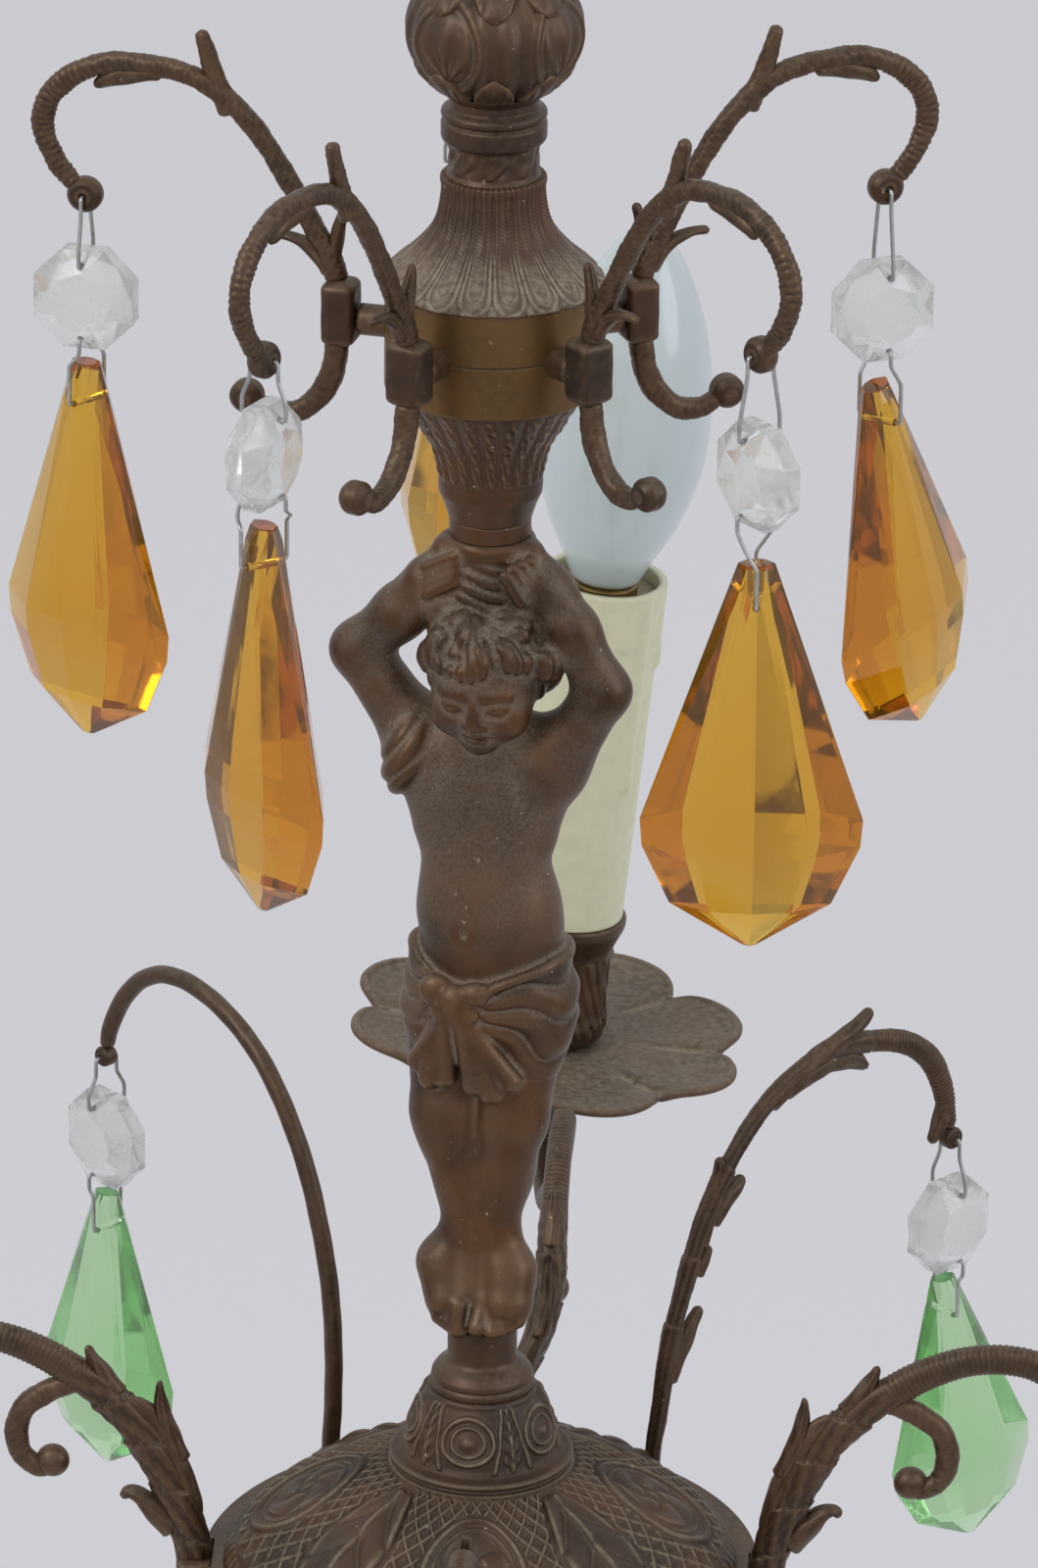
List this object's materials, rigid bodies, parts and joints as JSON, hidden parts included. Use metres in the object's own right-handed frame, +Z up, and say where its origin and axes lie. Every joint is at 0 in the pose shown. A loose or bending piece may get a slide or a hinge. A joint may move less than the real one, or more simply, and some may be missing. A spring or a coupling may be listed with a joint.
{
  "type": "chandelier",
  "caption": "Small hanging chandelier: a cast figure carries a crown of curved arms with glass prisms above a domed body with candle arms.",
  "frame": {"origin": "centre of the hanging eye's bore", "axes": "+Z up along the column; +Y along the eye's bore, away from the front; +X to the right of a viewer at the front"},
  "size_m": [0.4272, 0.4272, 0.4366],
  "materials": {
    "bronze": "dark brown patina with dust in the hollows",
    "worn_brass": "dull olive brass",
    "steel": "plain",
    "wire": "bright drawn wire",
    "block_plastic": "matt",
    "holder_plastic": "matt black",
    "sleeve_plastic": "waxy ivory",
    "opal_glass": "satin opal",
    "clear_glass": "polished facets",
    "amber_glass": "polished facets",
    "green_glass": "polished facets"
  },
  "bodies": {
    "chandelier": {"hanging_loop": "bronze", "top_cap": "bronze", "ball_shell": "bronze", "neck_collar": "bronze", "bell_cover": "bronze", "drum_upper": "worn_brass", "drum_lower": "worn_brass", "crown_hub": "worn_brass", "crown_cup": "bronze", "figure_collar": "bronze", "figure": "bronze", "foot_plinth": "bronze", "shoulder_cap": "bronze", "body_dome": "bronze", "arm_hub": "bronze", "body_bowl": "bronze", "bottom_finial": "bronze", "central_pipe": "worn_brass", "terminal_block": "block_plastic", "arm_screws": "steel", "crown_arm_1": "bronze", "crown_arm_2": "bronze", "crown_arm_3": "bronze", "crown_arm_4": "bronze", "crown_arm_5": "bronze", "prism_arm_left": "bronze", "prism_arm_right": "bronze", "lamp_arm_left": "bronze", "lamp_arm_right": "bronze", "lamp_arm_front": "bronze", "lamp_arm_rear": "bronze", "lamp_nipples": "worn_brass", "drip_trays": "bronze", "holder_cups": "bronze", "lampholders": "holder_plastic", "candle_sleeves": "sleeve_plastic"},
    "bulb_left": {"bulb_left": "opal_glass"},
    "bulb_right": {"bulb_right": "opal_glass"},
    "bulb_rear": {"bulb_rear": "opal_glass"},
    "link_1": {"wires_1": "wire", "bead_1": "clear_glass"},
    "drop_1": {"prism_1": "amber_glass"},
    "link_2": {"wires_2": "wire", "bead_2": "clear_glass"},
    "drop_2": {"prism_2": "amber_glass"},
    "link_3": {"wires_3": "wire", "bead_3": "clear_glass"},
    "drop_3": {"prism_3": "amber_glass"},
    "link_4": {"wires_4": "wire", "bead_4": "clear_glass"},
    "drop_4": {"prism_4": "amber_glass"},
    "link_5": {"wires_5": "wire", "bead_5": "clear_glass"},
    "drop_5": {"prism_5": "amber_glass"},
    "link_6": {"wires_6": "wire", "bead_6": "clear_glass"},
    "drop_6": {"prism_6": "green_glass"},
    "link_7": {"wires_7": "wire", "bead_7": "clear_glass"},
    "drop_7": {"prism_7": "green_glass"}
  },
  "joints": [
    {"name": "bulb_left_screw", "type": "hinge", "parent": "chandelier", "child": "bulb_left", "pos_m": [-0.17289, 0.00604, -0.2186], "axis": [0, 0, 1], "range_deg": [0, 360]},
    {"name": "bulb_right_screw", "type": "hinge", "parent": "chandelier", "child": "bulb_right", "pos_m": [0.17289, -0.00604, -0.2186], "axis": [0, 0, 1], "range_deg": [0, 360]},
    {"name": "bulb_rear_screw", "type": "hinge", "parent": "chandelier", "child": "bulb_rear", "pos_m": [0.0227, 0.17183, -0.21916], "axis": [0.1043, -0.0073, 0.9945], "range_deg": [0, 360]},
    {"name": "link_1_swing", "type": "hinge", "parent": "chandelier", "child": "link_1", "pos_m": [-0.07574, 0.01945, -0.0803], "axis": [-0.2487, -0.9686, 0], "range_deg": [-15, 15]},
    {"name": "drop_1_swing", "type": "hinge", "parent": "link_1", "child": "drop_1", "pos_m": [-0.07574, 0.01945, -0.1209], "axis": [-0.6428, -0.766, 0], "range_deg": [-15, 15]},
    {"name": "link_2_swing", "type": "hinge", "parent": "chandelier", "child": "link_2", "pos_m": [-0.04028, -0.06703, -0.0803], "axis": [0.8572, -0.515, 0], "range_deg": [-15, 15]},
    {"name": "drop_2_swing", "type": "hinge", "parent": "link_2", "child": "drop_2", "pos_m": [-0.04028, -0.06703, -0.1193], "axis": [-0.8387, -0.5446, 0], "range_deg": [-15, 15]},
    {"name": "link_3_swing", "type": "hinge", "parent": "chandelier", "child": "link_3", "pos_m": [0.04815, -0.06162, -0.0803], "axis": [0.788, 0.6157, 0], "range_deg": [-15, 15]},
    {"name": "drop_3_swing", "type": "hinge", "parent": "link_3", "child": "drop_3", "pos_m": [0.04815, -0.06162, -0.1277], "axis": [0, -1, 0], "range_deg": [-15, 15]},
    {"name": "link_4_swing", "type": "hinge", "parent": "chandelier", "child": "link_4", "pos_m": [0.07291, 0.02828, -0.0803], "axis": [-0.3616, 0.9323, 0], "range_deg": [-15, 15]},
    {"name": "drop_4_swing", "type": "hinge", "parent": "link_4", "child": "drop_4", "pos_m": [0.07291, 0.02828, -0.1265], "axis": [0.788, -0.6157, 0], "range_deg": [-15, 15]},
    {"name": "link_5_swing", "type": "hinge", "parent": "chandelier", "child": "link_5", "pos_m": [-0.00491, 0.07805, -0.0803], "axis": [-0.998, -0.0628, 0], "range_deg": [-15, 15]},
    {"name": "drop_5_swing", "type": "hinge", "parent": "link_5", "child": "drop_5", "pos_m": [-0.00491, 0.07805, -0.1223], "axis": [-0.766, -0.6428, 0], "range_deg": [-15, 15]},
    {"name": "link_6_swing", "type": "hinge", "parent": "chandelier", "child": "link_6", "pos_m": [-0.07556, 0.08103, -0.284], "axis": [-0.7314, -0.682, 0], "range_deg": [-15, 15]},
    {"name": "drop_6_swing", "type": "hinge", "parent": "link_6", "child": "drop_6", "pos_m": [-0.07556, 0.08103, -0.321], "axis": [-0.5736, -0.8192, 0], "range_deg": [-15, 15]},
    {"name": "link_7_swing", "type": "hinge", "parent": "chandelier", "child": "link_7", "pos_m": [0.09288, 0.08661, -0.3022], "axis": [-0.682, 0.7314, 0], "range_deg": [-15, 15]},
    {"name": "drop_7_swing", "type": "hinge", "parent": "link_7", "child": "drop_7", "pos_m": [0.09288, 0.08661, -0.3403], "axis": [0.5, -0.866, 0], "range_deg": [-15, 15]}
  ]
}
